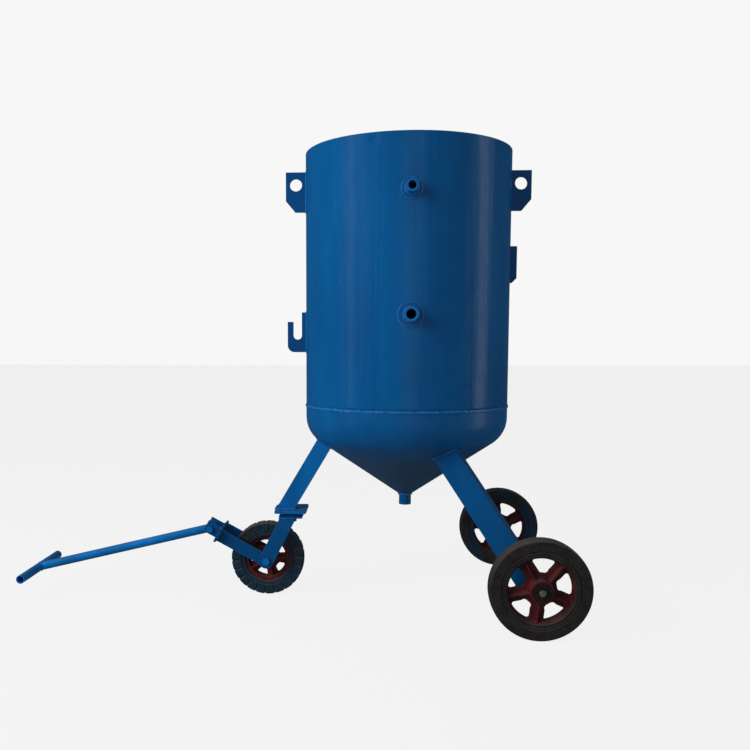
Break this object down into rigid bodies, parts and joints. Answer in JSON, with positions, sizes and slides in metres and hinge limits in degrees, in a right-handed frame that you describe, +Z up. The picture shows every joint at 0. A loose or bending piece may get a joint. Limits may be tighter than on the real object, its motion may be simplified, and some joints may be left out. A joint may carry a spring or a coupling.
{
  "type": "mobile blast pot",
  "caption": "Upright blue pressure vessel with a dished filling top and conical bottom, on two rear wheels and a front castor with a hinged tow bar.",
  "frame": {"origin": "on the ground, below the middle of the object's overall box", "axes": "+X from the tow bar towards the rear wheels, +Y across to the far rear wheel, away from the side with the two sockets, +Z up"},
  "size_m": [1.9037, 0.988, 1.54],
  "materials": {
    "enamel": "gloss enamel",
    "casting": "painted casting",
    "tyre": "moulded rubber",
    "seal_rubber": "matte",
    "bare_steel": "dull turned steel"
  },
  "bodies": {
    "pot": {"shell": "enamel", "girth_weld": "enamel", "bottom_head": "enamel", "outlet_pipe": "enamel", "top_head": "enamel", "port_ring": "enamel", "port_seal": "seal_rubber", "upper_socket": "enamel", "upper_socket_pad": "enamel", "lower_socket": "enamel", "lower_socket_pad": "enamel", "inlet_pipe": "bare_steel", "inlet_elbow": "bare_steel", "riser_pipe": "bare_steel", "lug_left": "enamel", "lug_right": "enamel", "hose_hook": "enamel", "pipe_bracket": "enamel", "front_leg": "enamel", "rear_leg_left": "enamel", "rear_leg_right": "enamel", "rear_foot_plates": "bare_steel", "castor_plate": "enamel", "kingpin": "bare_steel", "kingpin_washer": "bare_steel", "kingpin_nut": "bare_steel", "rear_axle": "bare_steel", "axle_washers": "bare_steel", "axle_rings": "bare_steel"},
    "popup_valve": {"popup_cone": "seal_rubber", "popup_stem": "bare_steel"},
    "castor": {"thrust_bearing": "enamel", "fork_crown": "enamel", "fork_leg_left": "enamel", "fork_leg_right": "enamel", "axle_bolt": "bare_steel", "axle_nut": "bare_steel", "axle_sleeve": "bare_steel", "axle_spacers": "bare_steel", "drawbar_arm_left": "enamel", "drawbar_arm_right": "enamel", "hitch_plate": "enamel", "clevis_cheeks": "enamel", "hinge_bolt": "bare_steel", "hinge_nut": "bare_steel"},
    "front_wheel": {"front_rim": "casting", "front_tyre": "tyre", "front_bearings": "bare_steel"},
    "rear_wheel_left": {"rear_rim_left": "casting", "rear_tyre_left": "tyre", "rear_bearings_left": "bare_steel"},
    "rear_wheel_right": {"rear_rim_right": "casting", "rear_tyre_right": "tyre", "rear_bearings_right": "bare_steel"},
    "tow_bar": {"tow_eye": "enamel", "tow_tube": "enamel", "tow_handle": "enamel"}
  },
  "joints": [
    {"name": "castor_swivel", "type": "hinge", "parent": "pot", "child": "castor", "pos_m": [-0.00564, 0, 0.293], "axis": [0, 0, 1], "range_deg": [-75, 75]},
    {"name": "front_wheel_spin", "type": "hinge", "parent": "castor", "child": "front_wheel", "pos_m": [-0.09164, 0, 0.131], "axis": [0, 1, 0], "continuous": true},
    {"name": "rear_wheel_left_spin", "type": "hinge", "parent": "pot", "child": "rear_wheel_left", "pos_m": [0.79536, -0.439, 0.1565], "axis": [0, 1, 0], "continuous": true},
    {"name": "rear_wheel_right_spin", "type": "hinge", "parent": "pot", "child": "rear_wheel_right", "pos_m": [0.79536, 0.439, 0.1565], "axis": [0, 1, 0], "continuous": true},
    {"name": "tow_bar_lift", "type": "hinge", "parent": "castor", "child": "tow_bar", "pos_m": [-0.29704, 0, 0.23683], "axis": [0, 1, 0], "range_deg": [0, 104]},
    {"name": "popup_lift", "type": "slide", "parent": "pot", "child": "popup_valve", "axis": [0, 0, 1], "range_m": [0, 0.03]}
  ]
}
